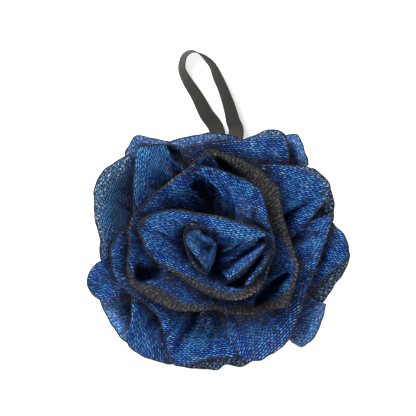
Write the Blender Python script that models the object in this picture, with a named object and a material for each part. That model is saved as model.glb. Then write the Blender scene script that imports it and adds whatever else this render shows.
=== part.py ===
"""Mesh bath pouf in the form of a rose, with a ribbon loop.

The pouf lies on its back with the rose facing up (+Z) and the loop towards +Y. The origin
is on the flat underside of the gathered middle, where the pouf rests. All sizes are metres.
"""

import math

import bmesh
import bpy
from mathutils import Vector

# Rose: half its width as the rims are laid out, and the height of its topmost rim.
ROSE_RADIUS = 0.0620
ROSE_HEIGHT = 0.0680
# The strip is a flattened tube, so a petal is two layers of net.
NET_THICKNESS = 0.0012

# Gathered middle of the strip: a pleated bundle, square with round corners where it is tied.
GATHER_HALF_WIDTH = 0.0070
GATHER_CORNER = 0.0030
GATHER_TIED_HEIGHT = 0.0120
GATHER_TOP_HALF_WIDTH = 0.0040
GATHER_TOP_CORNER = 0.0018
# The top of the bundle leans towards the bud: place in the plan and height, in hundredths.
GATHER_TOP = (-5.0, -5.0, 54.0)
# Share of a petal's rise that is an even slope, the rest being its wall.
PETAL_SLOPE = 0.35
# The outer part of a petal rolls back as a lip, by this share of the petal's reach.
LIP_START = 0.72
LIP_ROLL = 0.075
# Rows crowd towards the rim, where the petal bends most.
ROW_CROWDING = 1.5
# A petal's root is buried this share of the way out in the bundle.
ROOT_SHARE = 0.55

# Ribbon loop.
RIBBON_WIDTH = 0.0080
RIBBON_THICKNESS = 0.0006
RIBBON_END_RISE = 0.0056
RIBBON_LAYER_GAP = 0.0004
RIBBON_SAMPLES = 76

# Binding cord.
TIE_CORD_RADIUS = 0.0009
TIE_HEIGHT = 0.0037
TIE_KNOT_RADIUS = 0.0018
TIE_KNOT_LENGTH = 0.0046

# Touching pieces keep this gap.
CLEARANCE = 0.0003

# Each petal: root height and belly (how far it sags between root and rim) in hundredths of
# the rose's height, swirl in degrees from rim to root at its first and its last side, rows,
# columns, and its rim. A rim point is (x, y, z, fullness): plan in hundredths of the rose's
# radius, height in hundredths of the rose's height. A petal leaves the middle low, rises as a
# wall and opens into a face. A low fullness puts the wall near the middle, so that the face
# is broad, and a high one puts it near the rim.
PETALS = {
    "back_top": (15, 4, 0, 0, 4, 5, [
        (-34, 83.5, 51, 2), (-25, 86, 52, 2), (-13, 88.5, 52, 2), (2.5, 90.5, 52, 2),
        (12.5, 89, 51, 2), (21.5, 86, 49, 2)]),
    "back_corner": (13, 23, 0, 0, 4, 5, [
        (-67.5, 72, 42, 2), (-66.5, 77, 43, 2), (-63.5, 82, 44, 2),
        (-58, 88.5, 46, 2), (-46.5, 86.5, 48, 2), (-31, 83.5, 48, 2)]),
    "back_left": (15, 17, 0, 0, 4, 7, [
        (-64, 74.5, 48, 2), (-72, 69.5, 47, 2), (-81.5, 63.5, 46, 2), (-89, 53.5, 45, 2),
        (-91.5, 40.5, 44, 2), (-90, 22.5, 43, 2), (-86.5, 6, 43, 2),
        (-86.5, -5.5, 42, 2), (-82, -15.5, 41, 2)]),
    "back_low_left": (13, 22, 0, 0, 4, 5, [
        (-89, -31, 38, 2), (-86, -42, 38, 2), (-81.5, -51, 38, 2), (-76, -60.5, 38, 2),
        (-69, -69.5, 39, 2), (-60.5, -74.5, 40, 2)]),
    "back_bottom": (13, 20, 0, 0, 4, 6, [
        (-35.5, -85, 35, 2), (-24, -90.5, 35, 2), (-9.5, -92, 35, 2), (4, -92.5, 35, 2),
        (11.5, -89, 35, 2), (21.5, -90.5, 35, 2), (31, -86.5, 36, 2)]),
    "back_right_low": (15, 17, 0, 0, 4, 5, [
        (62, -72, 41, 2), (70.5, -74.5, 41, 2), (79, -68, 42, 2), (83.5, -59, 42, 2),
        (86.5, -50, 43, 2), (88.5, -42, 43, 2)]),
    "back_right": (13, 21, 0, 0, 4, 5, [
        (83, -43, 37, 2), (88, -37.5, 38, 2), (94.5, -28.5, 39, 2),
        (103, -15.5, 39, 2), (106.5, -4.5, 40, 2), (103.5, 3, 40, 2)]),
    "back_right_top": (14, 21, 0, 0, 4, 4, [
        (93.5, 21.5, 42, 2), (94.5, 35.5, 43, 2), (91.5, 48, 45, 2), (85, 58, 46, 2),
        (78, 64, 47, 2)]),
    "top_tube": (15, 14, 0, 0, 4, 5, [
        (75, 66, 46, 2), (73, 72, 48, 2), (70.5, 81.5, 50, 2),
        (66.5, 88.5, 50, 2), (60.5, 89.5, 50, 2), (52.5, 86.5, 48, 2)]),
    "left_lobe": (17, 3, -18, 4, 4, 5, [
        (-90, -10, 52, 1.5), (-94.5, -17.5, 52, 1.5), (-96.5, -25.5, 51, 1.5),
        (-93, -34, 50, 1.5), (-86, -39.5, 50, 1.5)]),
    "low_left": (15, 7, 0, 0, 4, 7, [
        (-62.5, -36.5, 48, 1.5), (-62, -48, 48, 1.5), (-63.5, -59, 46, 1.5),
        (-66.5, -69.5, 44, 1.5), (-61, -77.5, 43, 1.5), (-52, -83, 43, 1.5),
        (-42, -86, 44, 1.5), (-32.5, -88.5, 45, 1.5), (-26.5, -86.5, 45, 1.5)]),
    "right_tip": (17, 6, 0, 0, 4, 6, [
        (69.5, -39.5, 47, 1.4), (82, -27, 48, 1.4), (93, -16.5, 49, 1.4), (103, -8.5, 50, 1.4),
        (106, 0, 51, 1.4), (102, 11.5, 51, 1.4), (94.5, 19.5, 50, 1.4), (88.5, 28, 49, 1.4)]),
    "top_wave": (20, 3, 0, 0, 4, 9, [
        (-17, 76, 59, 1.2), (-7, 81.5, 61, 1.1), (4, 84.5, 63, 1), (14, 84.5, 63, 1),
        (24, 85, 63, 1), (34, 89, 64, 0.9), (44, 93, 64, 0.9), (52.5, 91.5, 62, 1),
        (57.5, 86, 61, 1.1), (59, 76, 60, 1.2), (59.5, 64.5, 57, 1.4)]),
    "right_top": (22, 0, 0, 0, 4, 8, [
        (34, 66, 62, 1.5), (45, 66, 63, 1.4), (56.5, 65.5, 63, 1.3), (68, 65, 62, 1.2),
        (78, 62.5, 60, 1.1), (87.5, 55.5, 58, 1.1), (91.5, 48, 58, 1.1), (87.5, 38.5, 58, 1.2),
        (79, 28, 58, 1.3), (69.5, 18, 57, 1.4), (59, 7.5, 55, 1.6)]),
    "left_top": (17, 0, 0, 0, 4, 8, [
        (-60.5, 21.5, 59, 1.2), (-60.5, 35, 58, 1.2), (-60.5, 50.5, 58, 1.1),
        (-59.5, 66, 59, 1), (-58, 77.5, 60, 1), (-49.5, 80.5, 61, 0.9), (-38.5, 81.5, 61, 0.9),
        (-30, 81, 61, 0.9), (-25, 78.5, 62, 0.9)]),
    "low_centre": (19, 4, 0, 0, 4, 13, [
        (-65, 19, 63, 1.5), (-71, 12.5, 63, 1.5), (-77.5, 1.5, 63, 1.4), (-77.5, -11, 62, 1.4),
        (-72, -25, 62, 1.2), (-61, -35, 61, 1.2), (-50.5, -42, 59, 1.2), (-42, -51, 57, 1.4),
        (-37, -63.5, 56, 1.5), (-34, -76, 54, 1.6), (-30, -88.5, 52, 1.6),
        (-18.5, -88.5, 49, 1.8), (-5.5, -85, 47, 2), (6, -83.5, 46, 2), (18.5, -84.5, 46, 2)]),
    "low_right": (20, 0, -38, 0, 4, 10, [
        (28.5, -86.5, 55, 0.9), (38.5, -84.5, 54, 0.9), (49.5, -78, 54, 0.9),
        (58, -71, 55, 0.9), (62.5, -63.5, 56, 1), (67.5, -48, 57, 1.1), (73, -32.5, 58, 1.2),
        (79, -17, 58, 1.3), (86, 1.5, 56, 1.5), (91.5, 19.5, 55, 1.6), (93, 28, 54, 1.6)]),
    "crest": (34, 0, -70, -30, 4, 11, [
        (-12.5, 60.5, 85, 0.7), (-7, 64.5, 85, 0.7), (4, 62.5, 85, 0.7), (17, 57.5, 85, 0.7),
        (28.5, 52.5, 85, 0.7), (36.5, 46.5, 84, 0.7), (41, 34, 84, 0.8), (44, 21.5, 84, 0.9),
        (48, 7.5, 83, 1), (48, -1.5, 82, 1), (43.5, -13, 81, 1), (40.5, -24, 80, 0.8),
        (34, -31.5, 80, 0.7)]),
    "cup": (36, 0, 0, 0, 4, 11, [
        (-43.5, 28.5, 84, 0.7), (-51, 25.5, 86, 0.65), (-56.5, 19.5, 88, 0.6),
        (-54, 9.5, 89, 0.5), (-49.5, -1, 89, 0.45), (-41, -9.5, 88, 0.45),
        (-31, -15.5, 88, 0.45), (-21, -22.5, 87, 0.45), (-11, -29.5, 86, 0.45),
        (1.5, -35, 85, 0.45), (15.5, -38, 84, 0.5), (27, -35.5, 84, 0.6), (35.5, -29.5, 83, 0.7),
        (39.5, -22.5, 82, 0.8)]),
    "fold_right": (41, 0, 0, 0, 3, 4, [
        (45, 0, 87, 0.6), (43.5, -6, 87, 0.55), (40, -12.5, 87, 0.5), (34, -20, 87, 0.45),
        (27, -27, 87, 0.4)]),
    "fold_inner": (44, 0, 0, 0, 3, 4, [
        (42, 5, 91, 0.6), (37, -2, 91, 0.55), (29.5, -9.5, 91, 0.5), (21, -17, 91, 0.45),
        (13, -23, 91, 0.4)]),
    "shell": (44, 0, 0, 0, 4, 8, [
        (-54, 21.5, 95, 0.45), (-47, 27, 96, 0.45), (-37, 30, 96, 0.45), (-25.5, 31, 96, 0.45),
        (-11.5, 28.5, 96, 0.5), (1, 26.5, 96, 0.45), (12.5, 24, 96, 0.45), (25, 20, 95, 0.45),
        (35.5, 16.5, 94, 0.5), (42.5, 12, 93, 0.6)]),
    "bud": (48, 0, 0, 0, 4, 8, [
        (1.5, 0, 93, 0.8), (0, 5.5, 97, 0.6), (-4.5, 7.5, 98, 0.5), (-7.5, 12.5, 99, 0.5),
        (-12.5, 18, 100, 0.5), (-18.5, 18, 100, 0.5), (-21.5, 12.5, 99, 0.5), (-20, 3, 98, 0.5),
        (-16.5, -6, 97, 0.5), (-11, -14, 95, 0.5), (-4, -18.5, 93, 0.6)]),
}

# The collar goes all the way round the inner rose, in the same units as the petals.
COLLAR = (31, 0, 0, 0, 4, 31, [
    (-1, 77.5, 75, 2), (7, 75, 75, 2.4), (18.5, 71, 75, 2.4), (29.5, 66, 75, 2.2),
    (40.5, 58, 74, 1.8), (49, 49.5, 73, 1.6), (52.5, 38.5, 72, 1.5), (55, 25, 71, 1.5),
    (59, 11, 70, 1.6), (63.5, -2.5, 70, 1.6), (66, -14, 69, 1.6), (63.5, -25.5, 68, 1.6),
    (60.5, -36.5, 67, 1.5), (58, -44, 66, 1.2), (45, -45.5, 66, 1), (29.5, -49, 66, 0.9),
    (12.5, -48, 66, 0.8), (1, -45.5, 66, 0.7), (-12.5, -46.5, 67, 0.6), (-26.5, -46.5, 68, 0.6),
    (-40.5, -41, 69, 0.6), (-52.5, -34, 70, 0.8), (-62, -26.5, 70, 1.4), (-65, -15.5, 71, 1.9),
    (-64.5, 0, 72, 1.9), (-63.5, 14, 73, 1.5), (-60.5, 25.5, 74, 0.8), (-48, 39.5, 75, 0.6),
    (-34, 51, 75, 0.6), (-18.5, 63.5, 76, 0.7), (-7.5, 73.5, 76, 1)])

# Free part of the ribbon, in millimetres, from the left strand's foot over the top to the
# right strand's foot: (x, y, z, roll). Roll 0 is flat to the sky, 90 stands on its edge.
RIBBON_ROUTE = [
    (2.9, 55.7, 3.2, 20), (-2.9, 66.2, 3.6, 30), (-7.2, 74.4, 4.0, 43), (-11.5, 81.1, 4.2, 52),
    (-14.2, 86.4, 4.3, 62), (-14.5, 90.2, 4.4, 66), (-13.2, 94.1, 4.4, 70), (-10.1, 96.2, 4.5, 78),
    (-6.7, 95.5, 4.5, 90), (-2.9, 92.9, 4.5, 105), (0.5, 89.0, 4.4, 115), (2.9, 83.5, 4.3, 126),
    (5.3, 78.2, 4.3, 128), (8.2, 70.1, 4.3, 137), (10.1, 62.9, 4.2, 147), (11.5, 54.7, 4.2, 160)]


def smooth_through(points, samples, closed=False):
    """Even samples of a Catmull-Rom curve through the points, of any dimension."""
    count = len(points)
    spans = count if closed else count - 1
    result = []
    for index in range(samples if closed else samples + 1):
        place = index * spans / samples
        span = min(int(place), spans - 1)
        t = place - span
        if closed:
            a, b, c, d = (points[(span + k) % count] for k in (-1, 0, 1, 2))
        else:
            b, c = points[span], points[span + 1]
            a = points[span - 1] if span > 0 else tuple(2 * p - q for p, q in zip(b, c))
            last = span + 2 >= count
            d = tuple(2 * q - p for p, q in zip(b, c)) if last else points[span + 2]
        result.append(tuple(
            0.5 * (2 * q + (r - p) * t + (2 * p - 5 * q + 4 * r - s) * t * t
                   + (3 * q - p - 3 * r + s) * t ** 3)
            for p, q, r, s in zip(a, b, c, d)))
    return result


def gather_at(height):
    """Centre and half width of the gathered middle at a height."""
    top_height = GATHER_TOP[2] / 100 * ROSE_HEIGHT
    share = (height - GATHER_TIED_HEIGHT) / (top_height - GATHER_TIED_HEIGHT)
    share = min(max(share, 0.0), 1.0)
    centre_x = GATHER_TOP[0] / 100 * ROSE_RADIUS * share
    centre_y = GATHER_TOP[1] / 100 * ROSE_RADIUS * share
    half = GATHER_HALF_WIDTH + (GATHER_TOP_HALF_WIDTH - GATHER_HALF_WIDTH) * share
    corner = GATHER_CORNER + (GATHER_TOP_CORNER - GATHER_CORNER) * share
    return centre_x, centre_y, half, corner


def wall_rise(share, fullness):
    """How far a petal has risen, 0 to 1, at a share of the way from root to rim."""
    place = share / (share + fullness * (1 - share))
    wall = place * place * (3 - 2 * place)
    return wall + (share - wall) * PETAL_SLOPE


def petal_grid(petal, closed=False):
    """Points of a petal's middle surface, one list for each column from root to rim."""
    root, belly, first_swirl, last_swirl, rows, columns, rim = petal
    root_height = root / 100 * ROSE_HEIGHT
    sag = belly / 100 * ROSE_HEIGHT
    centre_x, centre_y, half, _ = gather_at(root_height)
    root_radius = half * ROOT_SHARE
    grid = []
    for index, (x, y, z, fullness) in enumerate(smooth_through(rim, columns, closed)):
        swirl = first_swirl + (last_swirl - first_swirl) * index / columns
        out_x = x / 100 * ROSE_RADIUS - centre_x
        out_y = y / 100 * ROSE_RADIUS - centre_y
        rim_height = z / 100 * ROSE_HEIGHT
        reach = math.hypot(out_x, out_y)
        bearing = math.atan2(out_y, out_x)
        column = []
        for row in range(rows + 1):
            share = 1 - (1 - row / rows) ** ROW_CROWDING
            radius = root_radius + (reach - root_radius) * share
            angle = bearing + math.radians(swirl) * (1 - share)
            rise = (rim_height - root_height) * wall_rise(share, fullness)
            lip = max(share - LIP_START, 0.0) / (1 - LIP_START)
            height = root_height + rise - sag * math.sin(math.pi * share) ** 2
            height -= LIP_ROLL * reach * lip ** 2
            column.append(Vector((
                centre_x + radius * math.cos(angle),
                centre_y + radius * math.sin(angle),
                max(height, NET_THICKNESS / 2))))
        grid.append(column)
    return grid


def grid_normals(grid, closed):
    """Unit normals of a grid of points, all to the same side."""
    columns = len(grid)
    rows = len(grid[0])
    normals = []
    for i in range(columns):
        before = grid[(i - 1) % columns] if closed else grid[max(i - 1, 0)]
        after = grid[(i + 1) % columns] if closed else grid[min(i + 1, columns - 1)]
        normals.append([
            (after[j] - before[j]).cross(
                grid[i][min(j + 1, rows - 1)] - grid[i][max(j - 1, 0)]).normalized()
            for j in range(rows)])
    return normals


def sheet_mesh(name, grid, thickness, closed=False):
    """A sheet of even thickness about a grid of points, as one closed mesh."""
    columns = len(grid)
    rows = len(grid[0])
    normals = grid_normals(grid, closed)
    bm = bmesh.new()
    front = []
    back = []
    for column, column_normals in zip(grid, normals):
        front.append([bm.verts.new(p + n * thickness / 2) for p, n in zip(column, column_normals)])
        back.append([bm.verts.new(p - n * thickness / 2) for p, n in zip(column, column_normals)])
    for i in range(columns if closed else columns - 1):
        k = (i + 1) % columns
        for j in range(rows - 1):
            bm.faces.new((front[i][j], front[k][j], front[k][j + 1], front[i][j + 1]))
            bm.faces.new((back[i][j], back[i][j + 1], back[k][j + 1], back[k][j]))
        for j, flip in ((0, False), (rows - 1, True)):
            edge = (front[i][j], back[i][j], back[k][j], front[k][j])
            bm.faces.new(edge[::-1] if flip else edge)
    if not closed:
        for i, flip in ((0, True), (columns - 1, False)):
            for j in range(rows - 1):
                edge = (front[i][j], back[i][j], back[i][j + 1], front[i][j + 1])
                bm.faces.new(edge if not flip else edge[::-1])
    bmesh.ops.recalc_face_normals(bm, faces=bm.faces)
    mesh = bpy.data.meshes.new(name)
    bm.to_mesh(mesh)
    bm.free()
    return mesh


def rounded_square(half, corner, height, centre_x=0.0, centre_y=0.0, extra_y=0.0, steps=5):
    """Corner-rounded square as a list of points; extra_y moves its +Y side out."""
    points = []
    for quarter in range(4):
        sign_x = 1 if quarter in (0, 3) else -1
        sign_y = 1 if quarter in (0, 1) else -1
        shift = extra_y if sign_y > 0 else 0.0
        for step in range(steps + 1):
            angle = math.pi / 2 * (quarter + step / steps)
            points.append(Vector((
                centre_x + sign_x * (half - corner) + corner * math.cos(angle),
                centre_y + sign_y * (half - corner) + shift + corner * math.sin(angle),
                height)))
    return points


def gathered_middle_mesh():
    """The bundle that all the petals' roots run into."""
    bm = bmesh.new()
    rings = []
    for height in (0.0, GATHER_TIED_HEIGHT, GATHER_TOP[2] / 100 * ROSE_HEIGHT):
        centre_x, centre_y, half, corner = gather_at(height)
        outline = rounded_square(half, corner, height, centre_x, centre_y)
        rings.append([bm.verts.new(point) for point in outline])
    count = len(rings[0])
    for low, high in zip(rings, rings[1:]):
        for i in range(count):
            k = (i + 1) % count
            bm.faces.new((low[i], low[k], high[k], high[i]))
    bm.faces.new(rings[0][::-1])
    bm.faces.new(rings[-1])
    mesh = bpy.data.meshes.new("gathered_middle")
    bm.to_mesh(mesh)
    bm.free()
    return mesh


def add_object(name, mesh, material=None):
    """Put a mesh in the scene under its node's name."""
    thing = bpy.data.objects.new(name, mesh)
    bpy.context.scene.collection.objects.link(thing)
    if material is not None:
        mesh.materials.clear()
        mesh.materials.append(material)
    return thing


def plain_material(name, colour, roughness):
    """A Principled material without metal."""
    material = bpy.data.materials.new(name)
    material.use_nodes = True
    shader = material.node_tree.nodes["Principled BSDF"]
    shader.inputs["Base Color"].default_value = (*colour, 1.0)
    shader.inputs["Roughness"].default_value = roughness
    shader.inputs["Metallic"].default_value = 0.0
    material.diffuse_color = (*colour, 1.0)
    return material


def add_net_rose():
    """The gathered strip: all petals joined to the gathered middle as one solid."""
    net = plain_material("blue_net", (0.01, 0.09, 0.42), 0.35)
    rose = add_object("net_rose", gathered_middle_mesh(), net)
    sheets = bpy.data.collections.new("petal_sheets")
    bpy.context.scene.collection.children.link(sheets)
    strips = [(name, petal, False) for name, petal in PETALS.items()]
    strips.append(("collar", COLLAR, True))
    for name, petal, closed in strips:
        mesh = sheet_mesh(name, petal_grid(petal, closed), NET_THICKNESS, closed)
        sheet = bpy.data.objects.new("sheet_" + name, mesh)
        sheet.hide_render = True
        sheet.display_type = "WIRE"
        sheets.objects.link(sheet)
    union = rose.modifiers.new("petals", "BOOLEAN")
    union.operation = "UNION"
    union.solver = "EXACT"
    union.operand_type = "COLLECTION"
    union.collection = sheets
    return rose


def ribbon_route():
    """Whole route of the ribbon, in metres: both tied ends and the free loop between them."""
    layer = RIBBON_THICKNESS + RIBBON_LAYER_GAP
    first_y = GATHER_HALF_WIDTH + CLEARANCE + RIBBON_THICKNESS / 2
    first_z = RIBBON_THICKNESS / 2 + CLEARANCE
    free = [(x / 1000, y / 1000, z / 1000, roll) for x, y, z, roll in RIBBON_ROUTE]
    bend = 2 * layer
    start = [
        (0.0, first_y, RIBBON_END_RISE, 0),
        (0.0, first_y, first_z + 1.5 * bend, 0),
        (0.0, first_y + 0.3 * bend, first_z + 0.3 * bend, 0),
        (0.0, first_y + 1.5 * bend, first_z, 0),
        (0.0, first_y + 5 * bend, first_z, 0),
        (0.0010, 0.0340, first_z + layer, 6)]
    second_y = first_y + layer
    second_z = first_z + layer
    finish = [
        (0.0040, 0.0340, second_z + layer, 172),
        (0.0, second_y + 4 * bend, second_z, 180),
        (0.0, second_y + bend, second_z, 180),
        (0.0, second_y + 0.2 * bend, second_z + 0.2 * bend, 180),
        (0.0, second_y, second_z + bend, 180),
        (0.0, second_y, RIBBON_END_RISE, 180)]
    return start + free + finish


def add_hanging_loop():
    """Grosgrain ribbon folded into a loop, its ends upright under the binding cord."""
    black = plain_material("black_ribbon", (0.03, 0.03, 0.027), 0.7)
    route = smooth_through(ribbon_route(), RIBBON_SAMPLES)
    points = [Vector(sample[:3]) for sample in route]
    edges = []
    for index, sample in enumerate(route):
        ahead = points[min(index + 1, len(points) - 1)]
        behind = points[max(index - 1, 0)]
        along = (ahead - behind).normalized()
        flat = Vector((along.x, along.y, 0.0))
        flat = Vector((0.0, 1.0, 0.0)) if flat.length < 0.2 else flat.normalized()
        if index > len(route) // 2 and Vector((along.x, along.y)).length < 0.2:
            flat = Vector((0.0, -1.0, 0.0))
        side = Vector((-flat.y, flat.x, 0.0))
        roll = math.radians(sample[3])
        lift = along.cross(side).normalized()
        across = (side * math.cos(roll) - lift * math.sin(roll)).normalized()
        edges.append(across * RIBBON_WIDTH / 2)
    grid = [[p - e, p - e / 3, p + e / 3, p + e] for p, e in zip(points, edges)]
    mesh = sheet_mesh("hanging_loop", grid, RIBBON_THICKNESS)
    return add_object("hanging_loop", mesh, black)


def add_tie_cord():
    """Cord drawn tight round the gathered middle and the ribbon's ends, with its knot."""
    cord = plain_material("tie_cord", (0.02, 0.02, 0.025), 0.6)
    offset = CLEARANCE + TIE_CORD_RADIUS
    stack = 2 * RIBBON_THICKNESS + RIBBON_LAYER_GAP + CLEARANCE
    outline = rounded_square(
        GATHER_HALF_WIDTH + offset, GATHER_CORNER + offset, TIE_HEIGHT, extra_y=stack)
    sides = 8
    bm = bmesh.new()
    rings = []
    count = len(outline)
    for i, point in enumerate(outline):
        along = (outline[(i + 1) % count] - outline[i - 1]).normalized()
        out = along.cross(Vector((0.0, 0.0, 1.0)))
        rings.append([
            bm.verts.new(point + out * TIE_CORD_RADIUS * math.cos(2 * math.pi * k / sides)
                         + Vector((0.0, 0.0, TIE_CORD_RADIUS * math.sin(2 * math.pi * k / sides))))
            for k in range(sides)])
    for i in range(count):
        here = rings[i]
        there = rings[(i + 1) % count]
        for k in range(sides):
            m = (k + 1) % sides
            bm.faces.new((here[k], there[k], there[m], here[m]))
    bmesh.ops.recalc_face_normals(bm, faces=bm.faces)
    mesh = bpy.data.meshes.new("tie_cord")
    bm.to_mesh(mesh)
    bm.free()
    tie = add_object("tie_cord", mesh, cord)

    knot_bm = bmesh.new()
    bmesh.ops.create_uvsphere(knot_bm, u_segments=12, v_segments=8, radius=1.0)
    knot_y = -(GATHER_HALF_WIDTH + CLEARANCE + TIE_KNOT_RADIUS)
    for vert in knot_bm.verts:
        vert.co.x *= TIE_KNOT_LENGTH / 2
        vert.co.y = vert.co.y * TIE_KNOT_RADIUS + knot_y
        vert.co.z = vert.co.z * TIE_KNOT_RADIUS + TIE_HEIGHT
    knot_mesh = bpy.data.meshes.new("knot")
    knot_bm.to_mesh(knot_mesh)
    knot_bm.free()
    knot = add_object("knot", knot_mesh)
    knot.hide_render = True
    knot.display_type = "WIRE"
    joined = tie.modifiers.new("knot", "BOOLEAN")
    joined.operation = "UNION"
    joined.solver = "EXACT"
    joined.object = knot
    return tie


for old in list(bpy.data.objects):
    bpy.data.objects.remove(old)
add_net_rose()
add_hanging_loop()
add_tie_cord()
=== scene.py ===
"""Mesh bath pouf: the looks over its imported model, in metres, +Z up."""

import math

import bmesh
import bpy
import numpy as np
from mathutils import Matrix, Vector


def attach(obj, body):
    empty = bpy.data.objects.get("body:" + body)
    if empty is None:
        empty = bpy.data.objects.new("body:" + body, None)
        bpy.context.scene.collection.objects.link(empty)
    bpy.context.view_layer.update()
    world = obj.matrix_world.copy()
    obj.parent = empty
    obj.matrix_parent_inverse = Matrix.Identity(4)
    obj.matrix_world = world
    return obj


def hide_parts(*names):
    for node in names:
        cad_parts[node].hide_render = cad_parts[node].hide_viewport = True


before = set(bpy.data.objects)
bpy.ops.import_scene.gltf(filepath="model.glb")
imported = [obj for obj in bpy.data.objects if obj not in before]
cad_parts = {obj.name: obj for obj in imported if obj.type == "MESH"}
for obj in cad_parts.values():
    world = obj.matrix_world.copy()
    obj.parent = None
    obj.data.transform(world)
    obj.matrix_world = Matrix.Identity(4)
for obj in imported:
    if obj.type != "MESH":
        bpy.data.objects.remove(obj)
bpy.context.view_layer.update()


# Table top, daylight and camera.
# The pouf lies on a white table under broad, soft daylight that comes a little from the upper
# left, and is seen straight from above through a long lens.
CAMERA_HEIGHT = 3.0
VIEW_WIDTH = 0.1997
VIEW_HEIGHT_PLANE = 0.037
TABLE_SIZE = 3.0
TABLE_GLOW = 0.6


def linear(hex_colour):
    """An sRGB hex colour as the linear values that a shader takes."""
    values = [int(hex_colour[i:i + 2], 16) / 255 for i in (1, 3, 5)]
    return tuple(v / 12.92 if v <= 0.04045 else ((v + 0.055) / 1.055) ** 2.4
                 for v in values) + (1.0,)


def add(tree, kind, inputs=None, **settings):
    """Add a node with its settings; an input is a value, a node or another node's output."""
    made = tree.nodes.new(kind)
    for key, value in settings.items():
        setattr(made, key, value)
    for place, value in (inputs or {}).items():
        if isinstance(value, bpy.types.Node):
            value = value.outputs["Result" if "Result" in value.outputs else 0]
        if isinstance(value, bpy.types.NodeSocket):
            tree.links.new(value, made.inputs[place])
        else:
            made.inputs[place].default_value = value
    return made


def maths(tree, operation, *values):
    """A maths node on one or two values, nodes or outputs."""
    return add(tree, "ShaderNodeMath", dict(enumerate(values)), operation=operation)


lens = bpy.data.cameras.new("camera")
lens.sensor_width = 36.0
lens.lens = lens.sensor_width * (CAMERA_HEIGHT - VIEW_HEIGHT_PLANE) / VIEW_WIDTH
lens.clip_end = 20.0
camera = bpy.data.objects.new("camera", lens)
camera.location = (-0.0019, 0.0202, CAMERA_HEIGHT)
bpy.context.scene.collection.objects.link(camera)
bpy.context.scene.camera = camera

for lamp_name, place, size, energy in (
        ("window", (-0.8, 0.9, 1.2), 0.7, 38.0),
        ("reflector", (0.6, -1.0, 1.3), 0.8, 19.0)):
    lamp = bpy.data.lights.new(lamp_name, "AREA")
    lamp.size = size
    lamp.energy = energy
    lamp_object = bpy.data.objects.new(lamp_name, lamp)
    lamp_object.location = place
    lamp_object.rotation_euler = (-Vector(place)).to_track_quat("-Z", "Y").to_euler()
    bpy.context.scene.collection.objects.link(lamp_object)

sky = bpy.data.worlds.new("sky")
sky.use_nodes = True
sky.node_tree.nodes["Background"].inputs["Color"].default_value = (1.0, 1.0, 1.0, 1.0)
sky.node_tree.nodes["Background"].inputs["Strength"].default_value = 0.27
bpy.context.scene.world = sky
bpy.context.scene.view_settings.view_transform = "Standard"

# White laminate: even and matt, and lifted to white where the camera or a gloss sees it.
white_laminate = bpy.data.materials.new("white_laminate")
white_laminate.use_nodes = True
tree = white_laminate.node_tree
tree.nodes.clear()
matt = add(tree, "ShaderNodeBsdfDiffuse", {"Color": linear("#e4e4e4")})
rays = add(tree, "ShaderNodeLightPath")
seen = maths(tree, "MAXIMUM", rays.outputs["Is Camera Ray"], rays.outputs["Is Glossy Ray"])
seen = maths(tree, "MAXIMUM", seen, rays.outputs["Is Transmission Ray"])
lift = maths(tree, "MULTIPLY", seen, TABLE_GLOW)
glow = add(tree, "ShaderNodeEmission", {"Strength": lift})
both = add(tree, "ShaderNodeAddShader", {0: matt, 1: glow})
add(tree, "ShaderNodeOutputMaterial", {"Surface": both})

half_table = TABLE_SIZE / 2
table_mesh = bpy.data.meshes.new("table_top")
table_mesh.from_pydata(
    [(-half_table, -half_table, 0), (half_table, -half_table, 0),
     (half_table, half_table, 0), (-half_table, half_table, 0)], [], [(0, 1, 2, 3)])
table_mesh.materials.append(white_laminate)
table_top = bpy.data.objects.new("table_top", table_mesh)
bpy.context.scene.collection.objects.link(table_top)


# Gathered middle of the net.
# The strip's middle is pleated and pulled tight by a cord: a square bundle, flat underneath,
# that narrows upwards and leans towards the bud. Every petal's root is caught in it.
ROSE_RADIUS = 0.0620
ROSE_HEIGHT = 0.0680
GATHER_HALF_WIDTH = 0.0070
GATHER_CORNER = 0.0030
GATHER_TIED_HEIGHT = 0.0120
GATHER_TOP_HALF_WIDTH = 0.0040
GATHER_TOP_CORNER = 0.0018
GATHER_TOP = (-5.0, -5.0, 54.0)
GATHER_PLEATS = 22
GATHER_PLEAT_DEPTH = 0.0005
GATHER_SQUARENESS = 5.0
GATHER_COLUMNS = 264

# Knitted polyethylene net: flat shiny tape in blue, knitted with thin black thread. Each loop
# of tape is a slim lens that lies along the fabric's grain, and the next row is half a loop on.
LOOP_PITCH_MM = 2.7
ROW_PITCH_MM = 0.98
BLACK_THREAD = "#131416"
TAPE_DEEP = "#0b1e33"
TAPE_BLUE = "#0f61dc"
TAPE_BRIGHT = "#4dadff"
# Near-white colour of the painted glints on single loops.
TAPE_PAINTED_GLINT = "#b9cde6"


def remap(tree, value, span=(0.0, 1.0), to=(0.0, 1.0), kind="LINEAR"):
    """Map a span of values to another, and stop at its ends."""
    return add(tree, "ShaderNodeMapRange", {
        "Value": value, "From Min": span[0], "From Max": span[1], "To Min": to[0],
        "To Max": to[1]}, interpolation_type=kind)


def blend(tree, factor, first, second):
    """Mix two colours, each an sRGB hex or a node."""
    first, second = (linear(end) if isinstance(end, str) else end for end in (first, second))
    return add(tree, "ShaderNodeMix", {"Factor": factor, "A": first, "B": second},
               data_type="RGBA")


def noise(tree, place, scale, detail, roughness=0.5):
    """Flat noise over the fabric, with the scale per millimetre."""
    return add(tree, "ShaderNodeTexNoise", {
        "Vector": place, "Scale": scale, "Detail": detail, "Roughness": roughness},
        noise_dimensions="2D")


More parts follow.
